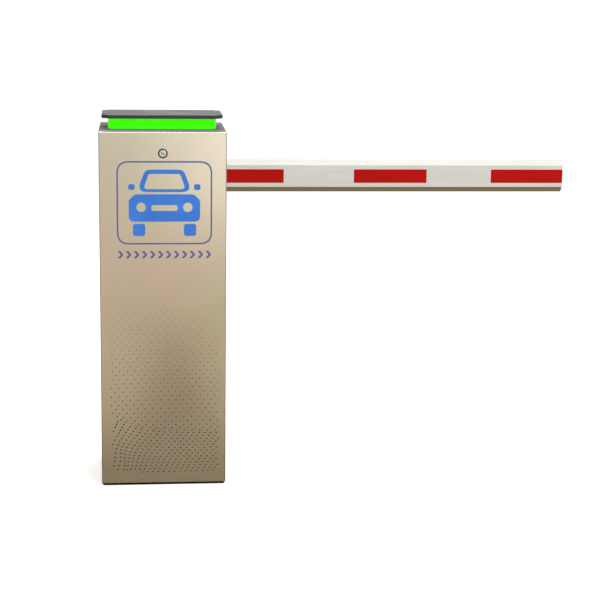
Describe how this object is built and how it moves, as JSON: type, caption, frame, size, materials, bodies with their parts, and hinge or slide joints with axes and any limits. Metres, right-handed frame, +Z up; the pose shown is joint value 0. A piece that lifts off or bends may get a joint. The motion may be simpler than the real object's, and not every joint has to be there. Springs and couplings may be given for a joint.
{
  "type": "parking barrier gate",
  "caption": "Floor-standing parking barrier: stainless drive cabinet with a lit top, a tilting service door and a striped boom that lifts from horizontal to upright.",
  "frame": {"origin": "on the ground, at the centre of the cabinet's anchor bolt rectangle", "axes": "+X along the lowered boom, away from the cabinet; -Y out of the service door; +Z up"},
  "size_m": [1.375, 0.376, 1.043],
  "materials": {
    "black_rubber": "matt",
    "zinc_steel": "zinc plated, satin",
    "brushed_stainless": "champagne tinted, vertically brushed",
    "dark_paint": "semi-gloss",
    "machined_steel": "turned and ground",
    "chromed_brass": "polished",
    "cast_iron_grey": "painted casting",
    "bronze": "machined",
    "motor_aluminium": "die cast",
    "spring_steel": "oiled",
    "boom_white": "powder coated, semi-gloss",
    "end_cap_plastic": "moulded",
    "red_film": "retroreflective film",
    "black_plastic": "moulded",
    "grey_plastic": "moulded",
    "perforated_steel": "folded sheet",
    "green_diffuser": "frosted, lit from inside",
    "led_white": "LED tape"
  },
  "bodies": {
    "cabinet": {"base_gasket": "black_rubber", "cable_grommet": "black_rubber", "stop_buffers": "black_rubber", "base_plate": "zinc_steel", "header_rail": "zinc_steel", "mechanism_plate": "zinc_steel", "foot_angle": "zinc_steel", "bearing_plate": "zinc_steel", "gearbox_shelf": "zinc_steel", "spring_anchor": "zinc_steel", "equipment_plate": "zinc_steel", "din_rail": "zinc_steel", "side_panel_left": "brushed_stainless", "side_panel_right": "brushed_stainless", "rear_panel": "brushed_stainless", "panel_screws": "brushed_stainless", "top_deck": "dark_paint", "top_cap": "dark_paint", "hinge_pins": "machined_steel", "plate_spacers": "machined_steel", "eye_bolts": "machined_steel", "machine_screws": "machined_steel", "cap_posts": "machined_steel", "gearbox_housing": "cast_iron_grey", "gearbox_cover": "cast_iron_grey", "shaft_bearings": "cast_iron_grey", "motor_housing": "motor_aluminium", "led_carrier": "motor_aluminium", "balance_springs": "spring_steel", "limit_switches": "black_plastic", "controller_box": "grey_plastic", "controller_cover": "grey_plastic", "terminal_block": "grey_plastic", "power_supply": "perforated_steel", "lamp_diffuser": "green_diffuser", "led_strips": "led_white"},
    "boom": {"main_shaft": "machined_steel", "boom_flange": "zinc_steel", "clamp_plates": "zinc_steel", "clamp_bolts": "machined_steel", "boom_tube": "boom_white", "boom_end_caps": "end_cap_plastic", "boom_stripes": "red_film", "drive_lever": "machined_steel", "balance_lever": "machined_steel", "switch_cam": "black_plastic"},
    "rod": {"connecting_rod": "machined_steel"},
    "output": {"output_shaft": "machined_steel", "worm_wheel": "bronze", "crank_arm": "machined_steel"},
    "worm": {"worm_shaft": "machined_steel", "handwheel": "black_plastic"},
    "door": {"front_door": "brushed_stainless", "door_gasket": "black_rubber", "door_hooks": "machined_steel", "lock_housing": "chromed_brass", "lock_nut": "machined_steel"},
    "lock": {"lock_plug": "chromed_brass", "lock_cam": "machined_steel", "cam_screw": "machined_steel"}
  },
  "joints": [
    {"name": "boom_lift", "type": "hinge", "parent": "cabinet", "child": "boom", "pos_m": [0.04, 0.1, 0.844], "axis": [0, -1, 0], "range_deg": [0, 90], "deforming": ["balance_springs"]},
    {"name": "rod_pivot", "type": "hinge", "parent": "boom", "child": "rod", "pos_m": [0.08243, 0.097, 0.80157], "axis": [0, -1, 0], "range_deg": [-90, 0]},
    {"name": "crank_turn", "type": "hinge", "parent": "cabinet", "child": "output", "pos_m": [0.04, 0.06, 0.52], "axis": [0, -1, 0], "range_deg": [0, 90]},
    {"name": "worm_turn", "type": "hinge", "parent": "cabinet", "child": "worm", "pos_m": [0, 0.044, 0.4555], "axis": [1, 0, 0], "range_deg": [0, 2700]},
    {"name": "door_tilt", "type": "hinge", "parent": "cabinet", "child": "door", "pos_m": [0, -0.139, 0.0095], "axis": [1, 0, 0], "range_deg": [0, 25]},
    {"name": "lock_turn", "type": "hinge", "parent": "door", "child": "lock", "pos_m": [0, -0.146, 0.945], "axis": [0, -1, 0], "range_deg": [0, 90]}
  ],
  "couplings": [
    {"joint": "rod_pivot", "follows": "boom_lift", "ratio": -1},
    {"joint": "crank_turn", "follows": "boom_lift", "ratio": 1},
    {"joint": "worm_turn", "follows": "boom_lift", "ratio": 30}
  ]
}
